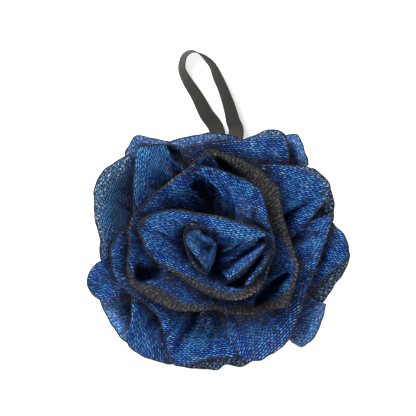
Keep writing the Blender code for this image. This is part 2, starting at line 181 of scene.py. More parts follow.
def knitted_net(name, band_dark, band_pale, rib_pitch_mm, band_cover, band_tape, specks):
    """Blue tape net whose edge is a ribbed band, as wide as the mesh says.

    band_cover is how closely the band is knitted, band_tape how much blue tape it holds, and
    specks how white its scattered pale specks are.
    """
    material = bpy.data.materials.new(name)
    material.use_nodes = True
    tree = material.node_tree
    shader = tree.nodes["Principled BSDF"]
    grain = add(tree, "ShaderNodeUVMap", uv_map="grain_mm")
    rim = add(tree, "ShaderNodeUVMap", uv_map="rim_mm")
    along_grain, across_grain, _ = add(tree, "ShaderNodeSeparateXYZ", {0: grain}).outputs
    along_rim, from_rim, _ = add(tree, "ShaderNodeSeparateXYZ", {0: rim}).outputs
    inward = maths(tree, "ABSOLUTE", from_rim)

    # Rows wander a little, as a stretched knit does.
    drift = noise(tree, grain, 0.06, 1.0)
    drift = maths(tree, "MULTIPLY", drift, 5.0)
    rows = maths(tree, "DIVIDE", across_grain, ROW_PITCH_MM)
    rows = maths(tree, "ADD", rows, drift)
    row = maths(tree, "FLOOR", rows)
    across = maths(tree, "FRACT", rows)
    across = maths(tree, "SUBTRACT", across, 0.5)
    across = maths(tree, "ABSOLUTE", across)
    stagger = maths(tree, "MULTIPLY", row, 0.5)
    slack = add(tree, "ShaderNodeTexWhiteNoise", {"W": row}, noise_dimensions="1D")
    slack = maths(tree, "MULTIPLY", slack, 0.3)
    stagger = maths(tree, "ADD", stagger, slack)
    loops = maths(tree, "DIVIDE", along_grain, LOOP_PITCH_MM)
    loops = maths(tree, "ADD", loops, stagger)
    loop = maths(tree, "FLOOR", loops)
    length = maths(tree, "FRACT", loops)
    length = maths(tree, "SUBTRACT", length, 0.5)
    length = maths(tree, "MULTIPLY", length, 2.0)
    length = maths(tree, "POWER", length, 2.0)
    cell = add(tree, "ShaderNodeCombineXYZ", {0: loop, 1: row})
    chance = add(tree, "ShaderNodeTexWhiteNoise", {"Vector": cell}, noise_dimensions="2D")
    # Lens: 1 on the loop's middle, 0 at its edge, below 0 between the loops.
    breadth = maths(tree, "MULTIPLY", across, 3.3)
    lens_shape = maths(tree, "SUBTRACT", 1.0, length)
    lens_shape = maths(tree, "SUBTRACT", lens_shape, breadth)
    tape = remap(tree, lens_shape, (-0.1, 0.22), kind="SMOOTHSTEP")

    # The tape's blue changes over the fabric and from loop to loop, and each loop's middle is
    # painted lighter than its edges, a painted highlight on the rounded tape.
    patch = noise(tree, grain, 0.1, 4.0, 0.65)
    tint = maths(tree, "MULTIPLY", chance, 0.4)
    change = remap(tree, patch, (0.3, 0.7), (0.34, 0.6))
    tint = maths(tree, "ADD", tint, change)
    painted_loop_highlight = maths(tree, "MULTIPLY", lens_shape, 0.3)
    tint = maths(tree, "ADD", tint, painted_loop_highlight)
    # The attribute below carries painted light and shade: from -1, where the tape is painted paler
    # as light, to 1, where it is painted darker as shade until black thread wins.
    crowd = add(tree, "ShaderNodeAttribute", attribute_name="crowd").outputs["Fac"]
    painted_tint_shift = maths(tree, "MULTIPLY", crowd, 0.22)
    tint = maths(tree, "SUBTRACT", tint, painted_tint_shift)
    blue = add(tree, "ShaderNodeValToRGB", {0: tint})
    ramp = blue.color_ramp
    ramp.elements[0].position = 0.45
    ramp.elements[0].color = linear(TAPE_DEEP)
    ramp.elements[1].position = 1.0
    ramp.elements[1].color = linear(TAPE_BRIGHT)
    ramp.elements.new(0.74).color = linear(TAPE_BLUE)
    # Painted highlight: here and there single loops are painted almost white, as glints on the
    # shiny tape.
    painted_glint = noise(tree, grain, 0.16, 1.0)
    painted_glint = maths(tree, "MULTIPLY", painted_glint, chance)
    painted_glint = remap(tree, painted_glint, (0.58, 0.70), (0.0, 0.8))
    blue = blend(tree, painted_glint, blue, TAPE_PAINTED_GLINT)
    # Painted shade: towards the root, where the petals go under the next turns, the tape is
    # painted darker, towards its deep blue.
    painted_root_shade = remap(tree, inward, (18.0, 42.0), (0.0, 0.4), kind="SMOOTHSTEP")
    blue = blend(tree, painted_root_shade, blue, TAPE_DEEP)
    net = blend(tree, tape, BLACK_THREAD, blue)
    # Painted shade: the net is mixed towards black thread as far as the attribute says.
    painted_shade_share = maths(tree, "MULTIPLY", crowd, 0.62)
    net = blend(tree, painted_shade_share, net, BLACK_THREAD)

    # Band: thread drawn into ribs square to the rim, with pale flecks where it is stretched.
    sway = noise(tree, rim, 0.22, 2.0)
    sway = maths(tree, "MULTIPLY", sway, 3.5)
    ribs = maths(tree, "ADD", along_rim, sway)
    ribs = maths(tree, "MULTIPLY", ribs, 2 * math.pi / rib_pitch_mm)
    ribs = maths(tree, "SINE", ribs)
    ribs = remap(tree, ribs, (-0.3, 1.0))
    fleck = noise(tree, rim, 0.9, 2.0, 0.75)
    fleck = remap(tree, fleck, (0.42, 0.66))
    pale = maths(tree, "MULTIPLY", ribs, fleck)
    thread = blend(tree, pale, band_dark, band_pale)
    band_colour = blend(tree, band_tape, thread, net)
    # Sparse near-white specks over the band.
    pale_specks = noise(tree, rim, 1.1, 1.0)
    pale_specks = remap(tree, pale_specks, (0.65, 0.74), (0.0, specks))
    band_colour = blend(tree, pale_specks, band_colour, "#d9e8f0")
    band_width = add(tree, "ShaderNodeAttribute", attribute_name="band_mm").outputs["Fac"]
    band = maths(tree, "SUBTRACT", band_width, inward)
    ragged = maths(tree, "MULTIPLY", fleck, 1.6)
    band = maths(tree, "SUBTRACT", band, ragged)
    band = remap(tree, band, (-1.4, 0.8), kind="SMOOTHSTEP")
    hem = remap(tree, inward, (0.2, 0.6), (1.0, 0.0))
    hem_pale_share = maths(tree, "POWER", fleck, 3.0)
    # In patches along the rim the hem's thread is paler, with pale flecks here and there.
    hem_pale_patch = noise(tree, rim, 0.045, 1.0)
    hem_pale_patch = remap(tree, hem_pale_patch, (0.5, 0.64))
    hem_pale_thread = blend(tree, hem_pale_patch, "#3c3a36", "#93918b")
    hem_thread = blend(tree, hem_pale_share, "#0a0a0a", hem_pale_thread)
    colour = blend(tree, band, net, band_colour)
    colour = blend(tree, hem, colour, hem_thread)
    tree.links.new(colour.outputs["Result"], shader.inputs["Base Color"])

    # Open knit: the gaps between the loops let what lies behind through.
    weave = remap(tree, tape, to=(0.9, 1.0))
    loose = remap(tree, fleck, to=(band_cover, 1.0))
    cover = add(tree, "ShaderNodeMix", {"Factor": band, "A": weave, "B": loose})
    cover = maths(tree, "MAXIMUM", cover, hem)
    tree.links.new(cover.outputs[0], shader.inputs["Alpha"])

    # Polyethylene tape is shiny and rounded across; thread is matt.
    gloss = remap(tree, tape, to=(0.7, 0.27))
    gloss = add(tree, "ShaderNodeMix", {"Factor": band, "A": gloss, "B": 0.8})
    tree.links.new(gloss.outputs[0], shader.inputs["Roughness"])
    low_ribs = maths(tree, "MULTIPLY", ribs, 0.35)
    relief = add(tree, "ShaderNodeMix", {"Factor": band, "A": lens_shape, "B": low_ribs})
    bump = add(tree, "ShaderNodeBump", {"Height": relief, "Distance": 0.00036, "Strength": 1.0})
    tree.links.new(bump.outputs[0], shader.inputs["Normal"])
    shader.inputs["IOR"].default_value = 1.5
    shader.inputs["Specular IOR Level"].default_value = 0.32
    return material


def gather_at(height):
    """Centre, half width and corner radius of the gathered middle at a height."""
    top_height = GATHER_TOP[2] / 100 * ROSE_HEIGHT
    share = (height - GATHER_TIED_HEIGHT) / (top_height - GATHER_TIED_HEIGHT)
    share = min(max(share, 0.0), 1.0)
    return (GATHER_TOP[0] / 100 * ROSE_RADIUS * share,
            GATHER_TOP[1] / 100 * ROSE_RADIUS * share,
            GATHER_HALF_WIDTH + (GATHER_TOP_HALF_WIDTH - GATHER_HALF_WIDTH) * share,
            GATHER_CORNER + (GATHER_TOP_CORNER - GATHER_CORNER) * share)


def grid_mesh(name, points, maps, material, closed=False, tube=False):
    """Mesh of quads from an array of points, column by column.

    maps holds the places in the fabric, in millimetres, under the map's name. closed joins the
    last column to the first, and tube the last row to the first.
    """
    columns, rows = points.shape[:2]
    mesh = bpy.data.meshes.new(name)
    spans = columns if closed else columns - 1
    i, j = np.meshgrid(np.arange(spans), np.arange(rows - 1), indexing="ij")
    k = (i + 1) % columns
    corners = np.stack([i * rows + j, k * rows + j, k * rows + j + 1, i * rows + j + 1], axis=-1)
    mesh.from_pydata(points.reshape(-1, 3).tolist(), [], corners.reshape(-1, 4).tolist())
    ends = np.stack([i, i + 1, i + 1, i], axis=-1).reshape(-1)
    sides = np.stack([j, j, j + 1, j + 1], axis=-1).reshape(-1)
    for map_name, places in maps.items():
        layer = mesh.uv_layers.new(name=map_name)
        layer.data.foreach_set("uv", places[ends, sides].astype(np.float32).reshape(-1))
    if tube:
        seam = bmesh.new()
        seam.from_mesh(mesh)
        bmesh.ops.remove_doubles(seam, verts=seam.verts, dist=1e-6)
        seam.to_mesh(mesh)
        seam.free()
    mesh.shade_smooth()
    mesh.materials.append(material)
    return mesh


def add_piece(name, mesh, node):
    """Show a mesh in place of a node of the model, riding on the part."""
    piece = bpy.data.objects.new(name, mesh)
    bpy.context.scene.collection.objects.link(piece)
    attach(piece, "root")
    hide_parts(node)
    return piece


net_plain = knitted_net("knitted_pe_tape_net", "#35332f", "#8f8c86", 1.4, 0.9, 0.0, 0.0)

middle_rows = []
for height in np.concatenate([np.linspace(0.0, GATHER_TIED_HEIGHT, 13),
                              np.linspace(0.014, GATHER_TOP[2] / 100 * ROSE_HEIGHT, 14)]):
    centre_x, centre_y, half, _ = gather_at(height)
    ring = []
    for column in range(GATHER_COLUMNS + 1):
        angle = 2 * math.pi * column / GATHER_COLUMNS
        # A square with round corners, as a superellipse.
        size = half / (abs(math.cos(angle)) ** GATHER_SQUARENESS
                       + abs(math.sin(angle)) ** GATHER_SQUARENESS) ** (1 / GATHER_SQUARENESS)
        size -= GATHER_PLEAT_DEPTH * (1 - math.cos(GATHER_PLEATS * angle)) / 2
        ring.append((centre_x + size * math.cos(angle), centre_y + size * math.sin(angle), height))
    middle_rows.append(ring)
# Underneath and on top, the pleats run in to the centre.
under = middle_rows[0]
over = middle_rows[-1]
for share in (0.75, 0.5, 0.25, 0.02):
    middle_rows.insert(0, [(x * share, y * share, 0.0003 * (1 - share)) for x, y, _ in under])
    middle_rows.append([
        (centre_x + (x - centre_x) * share, centre_y + (y - centre_y) * share,
         z + 0.001 * (1 - share)) for x, y, z in over])
middle_points = np.array(middle_rows).transpose(1, 0, 2)
middle_map = np.stack(np.meshgrid(
    np.linspace(0, 150, GATHER_COLUMNS + 1), np.linspace(60, 10, middle_points.shape[1]),
    indexing="ij"), axis=-1)
middle_mesh = grid_mesh("gathered_middle", middle_points,
                        {"grain_mm": middle_map[..., ::-1], "rim_mm": middle_map}, net_plain)
add_piece("gathered_middle", middle_mesh, "net_rose")


# Back petals.
# The outermost turns of the strip: a flattened tube of net, so each petal is two layers with
# a soft fold for a rim. Their hems are loosely knitted and let the light through.
PETAL_SLOPE = 0.35
LIP_START = 0.72
LIP_ROLL = 0.075
ROW_CROWDING = 1.5
ROOT_SHARE = 0.55
TUBE_THICKNESS = 0.0010
COLUMN_STEP = 0.0009
LEAST_COLUMNS = 24
RIM_SAMPLES = 200
PETAL_ROWS = 60
# How far a fold drifts along the rim on its way out, how long ruffles and sways of the rim are,
# how close to a side the two layers close, and the lip's turns from one layer to the other.
FOLD_DRIFT = 0.012
RUFFLE_LENGTH = 0.010
SWAY_LENGTH = 0.012
SIDE_CLOSING = 0.003
LIP_TURNS = (36, 72, 108, 144)

# The strip is creased into deep hollows between the turns. Each has its floor in hundredths of
# the rose's height, the petals that stand clear of it, and its spots as (x, y, radius) in
# hundredths of the rose's radius. A layer keeps this share of its height over the floor.
HOLLOW_EDGE = 4.0
HOLLOW_LAYERS = 0.2
HOLLOWS = (
    (44, ("crest", "cup", "shell", "bud", "bud_roll"), [
        (-10.5, 50, 4.6), (-6.5, 44.5, 4.2), (-1.4, 39, 2.6), (6.2, 31.8, 1.6),
        (16.4, 25.4, 1.1), (28, 20, 0.8)]),
    (47, ("crest", "cup", "shell", "bud", "bud_roll"), [
        (4.9, 70, 1.6), (11.3, 64, 3.2), (21.5, 55.5, 3.2), (32, 47.5, 1.2)]),
    (46, ("crest", "cup", "shell", "bud", "bud_roll"), [
        (-56.5, -13, 3.5), (-53, -18.5, 6.4), (-45, -17.5, 6)]),
    (44, ("collar", "crest", "cup", "shell", "bud", "bud_roll"), [
        (-33, 79, 1.5), (-26, 72, 4), (-17, 64.5, 4), (-10, 62, 2)]),
    (48, ("cup", "shell", "bud", "bud_roll", "fold_right"), [
        (34, -41, 1.4), (39, -36, 3.4), (49, -26, 3.6), (58, -19, 1.6)]),
    (62, ("shell", "bud", "bud_roll", "fold_inner"), [
        (13, -27, 1), (20, -26, 3), (30, -15.5, 1.6), (38, -5, 0.9)]),
    (66, ("cup", "shell", "bud", "bud_roll", "fold_right", "fold_inner"), [
        (11, 27.5, 0.8), (25, 23, 1.2), (36, 19.5, 1.2), (44, 14, 0.9)]),
    (70, ("shell", "bud", "bud_roll"), [
        (39, 8, 1.8), (29, -1, 1.8), (17, -9, 2.2), (5, -13, 2.8), (1, -19, 3)]),
)

# Each petal: root and belly in hundredths of the rose's height, swirl in degrees at its first
# and last side, and its rim as (x, y, z, fullness) in hundredths of the rose's radius and
# height.
BACK_PETALS = {
    "back_top": (15, 4, 0, 0, [
        (-34, 83.5, 51, 2), (-25, 86, 52, 2), (-13, 88.5, 52, 2), (2.5, 90.5, 52, 2),
        (12.5, 89, 51, 2), (21.5, 86, 49, 2)]),
    "back_corner": (13, 23, 0, 0, [
        (-67.5, 72, 42, 2), (-66.5, 77, 43, 2), (-63.5, 82, 44, 2),
        (-58, 88.5, 46, 2), (-46.5, 86.5, 48, 2), (-31, 83.5, 48, 2)]),
    "back_left": (15, 17, 0, 0, [
        (-64, 74.5, 48, 2), (-72, 69.5, 47, 2), (-81.5, 63.5, 46, 2), (-89, 53.5, 45, 2),
        (-91.5, 40.5, 44, 2), (-90, 22.5, 43, 2), (-86.5, 6, 43, 2),
        (-86.5, -5.5, 42, 2), (-82, -15.5, 41, 2)]),
    "back_low_left": (13, 22, 0, 0, [
        (-89, -31, 38, 2), (-86, -42, 38, 2), (-81.5, -51, 38, 2), (-76, -60.5, 38, 2),
        (-69, -69.5, 39, 2), (-60.5, -74.5, 40, 2)]),
    "back_bottom": (13, 20, 0, 0, [
        (-35.5, -85, 35, 2), (-24, -90.5, 35, 2), (-9.5, -92, 35, 2), (4, -92.5, 35, 2),
        (11.5, -89, 35, 2), (21.5, -90.5, 35, 2), (31, -86.5, 36, 2)]),
    "back_right_low": (15, 17, 0, 0, [
        (62, -72, 41, 2), (70.5, -74.5, 41, 2), (79, -68, 42, 2), (83.5, -59, 42, 2),
        (86.5, -50, 43, 2), (88.5, -42, 43, 2)]),
    "back_right": (13, 21, 0, 0, [
        (83, -43, 37, 2), (88, -37.5, 38, 2), (94.5, -28.5, 39, 2),
        (103, -15.5, 39, 2), (106.5, -4.5, 40, 2), (103.5, 3, 40, 2)]),
    "back_right_top": (14, 21, 0, 0, [
        (93.5, 21.5, 42, 2), (94.5, 35.5, 43, 2), (91.5, 48, 45, 2), (85, 58, 46, 2),
        (78, 64, 47, 2)]),
    "top_tube": (15, 14, 0, 0, [
        (75, 66, 46, 2), (73, 72, 48, 2), (70.5, 81.5, 50, 2),
        (66.5, 88.5, 50, 2), (60.5, 89.5, 50, 2), (52.5, 86.5, 48, 2)]),
}


def smooth_through(points, samples, closed=False):
    """Even samples of a Catmull-Rom curve through the points, as an array."""
    points = np.array(points, float)
    if closed:
        points = np.concatenate([points[-1:], points, points[:2]])
    else:
        points = np.concatenate([[2 * points[0] - points[1]], points,
                                 [2 * points[-1] - points[-2]]])
    spans = len(points) - 3
    place = np.arange(samples + 1) * spans / samples
    span = np.minimum(place.astype(int), spans - 1)
    t = (place - span)[:, None]
    a, b, c, d = (points[span + k] for k in range(4))
    return 0.5 * (2 * b + (c - a) * t + (2 * a - 5 * b + 4 * c - d) * t * t
                  + (3 * b - a - 3 * c + d) * t ** 3)


def waves(place, length, seed, whole=None):
    """A smooth random wave from -1 to 1; whole closes it over that distance."""
    chance = np.random.default_rng(seed)
    total = np.zeros_like(place)
    for share in (0.55, 0.8, 1.0, 1.35, 1.9):
        turns = 1 / (length * share)
        if whole:
            turns = max(round(whole * turns), 1) / whole
        total += chance.uniform(0.5, 1.0) * np.sin(
            2 * math.pi * (place * turns + chance.uniform()))
    return total / 2.6


def in_hollow(x, y, spots):
    """1 inside a hollow and 0 outside; its spots (x, y, radius) are joined to one shape."""
    beyond = np.full_like(x, np.inf)
    for (x0, y0, r0), (x1, y1, r1) in zip(spots, spots[1:]):
        run_x, run_y = x1 - x0, y1 - y0
        part = ((x - x0) * run_x + (y - y0) * run_y) / (run_x ** 2 + run_y ** 2)
        part = np.clip(part, 0.0, 1.0)
        gap = np.hypot(x - x0 - part * run_x, y - y0 - part * run_y) - r0 - part * (r1 - r0)
        beyond = np.minimum(beyond, gap)
    inside = np.clip(0.5 - beyond / HOLLOW_EDGE, 0.0, 1.0)
    return inside * inside * (3 - 2 * inside)


def step(values, axis, closed):
    """Central differences of a grid of points."""
    if closed:
        return np.roll(values, -1, axis) - np.roll(values, 1, axis)
    return np.gradient(values, axis=axis)


turns_of_net = []


def petal_piece(name, petal, material, grain, seed, band=0.0, closed=False, ruffle=0.0005,
                fold=0.0012, fold_length=0.015, roll=1.0, painted_light=0.0, tight=1.0, dip=0.5,
                heart=None):
    """A petal of the strip: two layers of net that meet in a soft fold at the rim.

    grain is the way the tape runs, in degrees from +X, and dip how much the rows close up on
    a steep wall. band is the width of the edge's band in millimetres, one number or several
    along the rim. roll is how much of the lip's fall the rim takes, painted_light how much
    paler the whole tape is painted, as painted light, and tight how much closer its rows lie.
    heart is a centre (x, y, radius) for a petal that doesn't run to the bundle.
    """
    root, belly, first_swirl, last_swirl, rim = petal
    root_height = root / 100 * ROSE_HEIGHT
    centre_x, centre_y, half, _ = gather_at(root_height)
    root_radius = half * ROOT_SHARE
    if heart:
        centre_x, centre_y, root_radius = (value / 100 * ROSE_RADIUS for value in heart)

    coarse = smooth_through(rim, RIM_SAMPLES, closed)
    rim_length = np.hypot(*np.diff(coarse[:, :2], axis=0).T).sum() / 100 * ROSE_RADIUS
    columns = max(int(rim_length / COLUMN_STEP), LEAST_COLUMNS)
    line = smooth_through(rim, columns, closed)
    if closed:
        line = line[:-1]
    swirl = first_swirl + (last_swirl - first_swirl) * np.arange(len(line)) / columns
    out_x = line[:, 0] / 100 * ROSE_RADIUS - centre_x
    out_y = line[:, 1] / 100 * ROSE_RADIUS - centre_y
    reach = np.hypot(out_x, out_y)[:, None]
    bearing = np.arctan2(out_y, out_x)[:, None]
    rim_height = line[:, 2:3] / 100 * ROSE_HEIGHT
    fullness = line[:, 3:4]
    steps = np.diff(np.stack([out_x, out_y], 1), axis=0)
    rim_place = np.concatenate([[0.0], np.cumsum(np.hypot(*steps.T))])[:, None]

    share = (1 - (1 - np.arange(PETAL_ROWS + 1) / PETAL_ROWS) ** ROW_CROWDING)[None, :]
    radius = root_radius + (reach - root_radius) * share
    angle = bearing + np.radians(swirl)[:, None] * (1 - share)
    place = share / (share + fullness * (1 - share))
    wall = place * place * (3 - 2 * place)
    rise = (rim_height - root_height) * (wall + (share - wall) * PETAL_SLOPE)
    lip = np.maximum(share - LIP_START, 0.0) / (1 - LIP_START)
    height = root_height + rise - belly / 100 * ROSE_HEIGHT * np.sin(math.pi * share) ** 2
    height = height - LIP_ROLL * roll * reach * lip ** 2
    # Soft folds run from the root to the rim, and the rim itself is lightly ruffled.
    whole = rim_length if closed else None
    soft_fold = waves(rim_place + FOLD_DRIFT * share, fold_length, seed, whole) * np.sin(
        math.pi * share ** 0.8)
    height = height + fold * soft_fold + ruffle * waves(
        rim_place, RUFFLE_LENGTH, seed + 1, whole) * share ** 5
    radius = radius + 0.6 * ruffle * waves(
        rim_place, SWAY_LENGTH, seed + 2, whole) * share ** 4
    plan_x = (centre_x + radius * np.cos(angle)) / ROSE_RADIUS * 100
    plan_y = (centre_y + radius * np.sin(angle)) / ROSE_RADIUS * 100
    # Painted light and shade: the net is painted paler on the ridges of its folds and darker in
    # their valleys, and the whole petal paler by its given amount, as painted light.
    crowd = -painted_light - 0.8 * soft_fold * np.ones_like(plan_x)
    pressed = np.zeros_like(plan_x)
    for floor, clear, spots in HOLLOWS:
        if name not in clear:
            inside = in_hollow(plan_x, plan_y, spots)
            over = np.maximum(height - floor / 100 * ROSE_HEIGHT, 0.0) * (1 - HOLLOW_LAYERS)
            height = height - over * inside
            # Painted shade: inside a hollow the net is painted dark.
            crowd = crowd + (1 - crowd) * inside
            pressed = np.maximum(pressed, inside)
    height = np.maximum(height, TUBE_THICKNESS / 2)
    middle = np.stack([centre_x + radius * np.cos(angle), centre_y + radius * np.sin(angle),
                       np.broadcast_to(height, radius.shape)], axis=-1)

    normal = np.cross(step(middle, 0, closed), step(middle, 1, False))
    normal /= np.linalg.norm(normal, axis=-1, keepdims=True) + 1e-12
    if normal[..., 2].mean() < 0:
        normal = -normal
    # The layers lie apart by the tube's thickness, and close at the root, the sides and in
    # the hollows.
    loose = np.minimum(1.0, 0.35 + 0.65 * share) * (1 - 0.9 * pressed)
    if not closed:
        side = np.minimum(rim_place, rim_place[-1] - rim_place) / SIDE_CLOSING
        loose = loose * np.clip(side, 0.08, 1.0) ** 0.5
    apart = TUBE_THICKNESS / 2 * loose[..., None]
    front = middle + normal * apart
    back = (middle - normal * apart)[:, ::-1]
    outward = middle[:, -1] - middle[:, -2]
    outward /= np.linalg.norm(outward, axis=-1, keepdims=True)
    fold_rows = []
    for turn in np.radians(LIP_TURNS):
        fold_rows.append(middle[:, -1] + apart[:, -1] * (
            normal[:, -1] * math.cos(turn) + outward * math.sin(turn)))
    points = np.concatenate([front, np.stack(fold_rows, axis=1), back], axis=1)
    points[..., 2] = np.maximum(points[..., 2], 0.0)

    # Places in the fabric: along the rim and in from it, and along and across the grain. The
    # grain runs straight over the petal and dips with it.
    inward = np.linalg.norm(np.diff(middle, axis=1), axis=-1)
    inward = np.concatenate([np.cumsum(inward[:, ::-1], axis=1)[:, ::-1],
                             np.zeros((len(inward), 1))], axis=1)
    along_rim = rim_place * np.ones_like(inward)
    tape_way = math.radians(grain)
    lean = bearing - tape_way
    along = (middle[..., 0] * math.cos(tape_way) + middle[..., 1] * math.sin(tape_way)
             + dip * height * np.cos(lean))
    cross = tight * (middle[..., 1] * math.cos(tape_way) - middle[..., 0] * math.sin(tape_way)
                     + dip * height * np.sin(lean))
    maps = {}
    for map_name, first, second in (
            ("grain_mm", (along, along), (cross, cross)),
            ("rim_mm", (along_rim, along_rim), (inward, -inward))):
        places = np.stack([
            np.concatenate([one, np.repeat(one[:, -1:], len(LIP_TURNS), axis=1),
                            other[:, ::-1]], axis=1)
            for one, other in (first, second)], axis=-1) * 1000
        if closed:
            last = places[:1].copy()
            if map_name == "rim_mm":
                last[..., 0] += rim_length * 1000
            places = np.concatenate([places, last])
        maps[map_name] = places
    mesh = grid_mesh("petal_" + name, points, maps, material, closed)
    widths = np.interp(np.linspace(0, 1, len(middle)), np.linspace(0, 1, np.size(band)),
                       np.atleast_1d(band))
    layer = mesh.attributes.new("band_mm", "FLOAT", "POINT")
    layer.data.foreach_set("value", np.repeat(widths, points.shape[1]).astype(np.float32))
    layer = mesh.attributes.new("crowd", "FLOAT", "POINT")
    both_sides = np.concatenate([
        crowd, np.repeat(crowd[:, -1:], len(LIP_TURNS), axis=1), crowd[:, ::-1]], axis=1)
    layer.data.foreach_set("value", both_sides.astype(np.float32).reshape(-1))
    piece = add_piece("petal_" + name, mesh, "net_rose")
    turns_of_net.append((piece, middle[:, -1]))


BACK_GRAINS = (10, 60, -75, 40, 10, 30, -50, -60, 80)
net_sheer = knitted_net(
    "knitted_pe_net_sheer_hem", "#0f478c", "#86c8fb", 1.5, 0.85, 0.5, 0.6)
net_mixed = knitted_net(
    "knitted_pe_net_mixed_selvage", "#0d1620", "#4a7fa6", 2.6, 0.9, 0.25, 0.8)
BACK_BANDS = {"back_left": (2, 6, 8, 7, 5, 3.5, 3, 2.5, 2), "back_right": 6, "back_right_top": 5,
              "back_bottom": 5}
for number, (name, petal) in enumerate(BACK_PETALS.items()):
    petal_piece(name, petal, net_mixed if name in BACK_BANDS else net_sheer,
                BACK_GRAINS[number], 10 * number, band=BACK_BANDS.get(name, 5.0),
                ruffle=0.0006, fold=0.0016, painted_light=1.4 if name == "back_left" else 0.9)


# Middle petals.
# The next turns of the strip lie over the back ones and open to the sides. Their rims are
# closely knitted, with a thin dark edge.
MIDDLE_PETALS = {
    "left_lobe": (17, 3, -18, 4, [
        (-90, -10, 52, 1.5), (-94.5, -17.5, 52, 1.5), (-96.5, -25.5, 51, 1.5),
        (-93, -34, 50, 1.5), (-86, -39.5, 50, 1.5)]),
    "low_left": (15, 7, 0, 0, [
        (-62.5, -36.5, 48, 1.5), (-62, -48, 48, 1.5), (-63.5, -59, 46, 1.5),
        (-66.5, -69.5, 44, 1.5), (-61, -77.5, 43, 1.5), (-52, -83, 43, 1.5),
        (-42, -86, 44, 1.5), (-32.5, -88.5, 45, 1.5), (-26.5, -86.5, 45, 1.5)]),
    "right_tip": (17, 6, 0, 0, [
        (69.5, -39.5, 47, 1.4), (82, -27, 48, 1.4), (93, -16.5, 49, 1.4), (103, -8.5, 50, 1.4),
        (106, 0, 51, 1.4), (102, 11.5, 51, 1.4), (94.5, 19.5, 50, 1.4), (88.5, 28, 49, 1.4)]),
    "top_wave": (20, 3, 0, 0, [
        (-17, 76, 59, 1.2), (-7, 81.5, 61, 1.1), (4, 84.5, 63, 1), (14, 84.5, 63, 1),
        (24, 85, 63, 1), (34, 89, 64, 0.9), (44, 93, 64, 0.9), (52.5, 91.5, 62, 1),
        (57.5, 86, 61, 1.1), (59, 76, 60, 1.2), (59.5, 64.5, 57, 1.4)]),
    "right_top": (22, 0, 0, 0, [
        (34, 66, 62, 1.5), (45, 66, 63, 1.4), (56.5, 65.5, 63, 1.3), (68, 65, 62, 1.2),
        (78, 62.5, 60, 1.1), (87.5, 55.5, 58, 1.1), (91.5, 48, 58, 1.1), (87.5, 38.5, 58, 1.2),
        (79, 28, 58, 1.3), (69.5, 18, 57, 1.4), (59, 7.5, 55, 1.6)]),
    "left_top": (17, 0, 0, 0, [
        (-60.5, 21.5, 59, 1.2), (-60.5, 35, 58, 1.2), (-60.5, 50.5, 58, 1.1),
        (-59.5, 66, 59, 1), (-58, 77.5, 60, 1), (-49.5, 80.5, 61, 0.9), (-38.5, 81.5, 61, 0.9),
        (-30, 81, 61, 0.9), (-25, 78.5, 62, 0.9)]),
    "low_centre": (19, 4, 0, 0, [
        (-65, 19, 63, 1.5), (-71, 12.5, 63, 1.5), (-77.5, 1.5, 63, 1.4), (-77.5, -11, 62, 1.4),
        (-72, -25, 62, 1.2), (-61, -35, 61, 1.2), (-50.5, -42, 59, 1.2), (-42, -51, 57, 1.4),
        (-37, -63.5, 56, 1.5), (-34, -76, 54, 1.6), (-30, -88.5, 52, 1.6),
        (-18.5, -88.5, 49, 1.8), (-5.5, -85, 47, 2), (6, -83.5, 46, 2), (18.5, -84.5, 46, 2)]),
    "low_right": (20, 0, -38, 0, [
        (28.5, -86.5, 55, 0.9), (38.5, -84.5, 54, 0.9), (49.5, -78, 54, 0.9),
        (58, -71, 55, 0.9), (62.5, -63.5, 56, 1), (67.5, -48, 57, 1.1), (73, -32.5, 58, 1.2),
        (79, -17, 58, 1.3), (86, 1.5, 56, 1.5), (91.5, 19.5, 55, 1.6), (93, 28, 54, 1.6)]),
}
MIDDLE_GRAINS = (-15, 95, -35, -5, -20, 85, 0, 40)
MIDDLE_PAINTED_LIGHT = (0.4, 0.4, 0.3, 0.2, 0.2, 0.6, 0.2, 0.0)
MIDDLE_TIGHT = (1.1, 1.2, 1.1, 1.1, 1.0, 1.2, 1.1, 1.0)
MIDDLE_BANDS = {"top_wave": (0.3, 0.3, 0.3, 0.3, 0.6, 2.5, 4, 4, 2, 0.3, 0.3),
                "right_top": (0.3, 0.3, 0.6, 1.5, 3, 3.5, 3.5, 3, 1.5, 0.3, 0.3)}
for number, (name, petal) in enumerate(MIDDLE_PETALS.items()):
    petal_piece(name, petal, net_mixed if name in MIDDLE_BANDS else net_plain,
                MIDDLE_GRAINS[number], 200 + 10 * number, band=MIDDLE_BANDS.get(name, 0.0),
                fold=0.0032, fold_length=0.02, painted_light=MIDDLE_PAINTED_LIGHT[number],
                tight=MIDDLE_TIGHT[number])


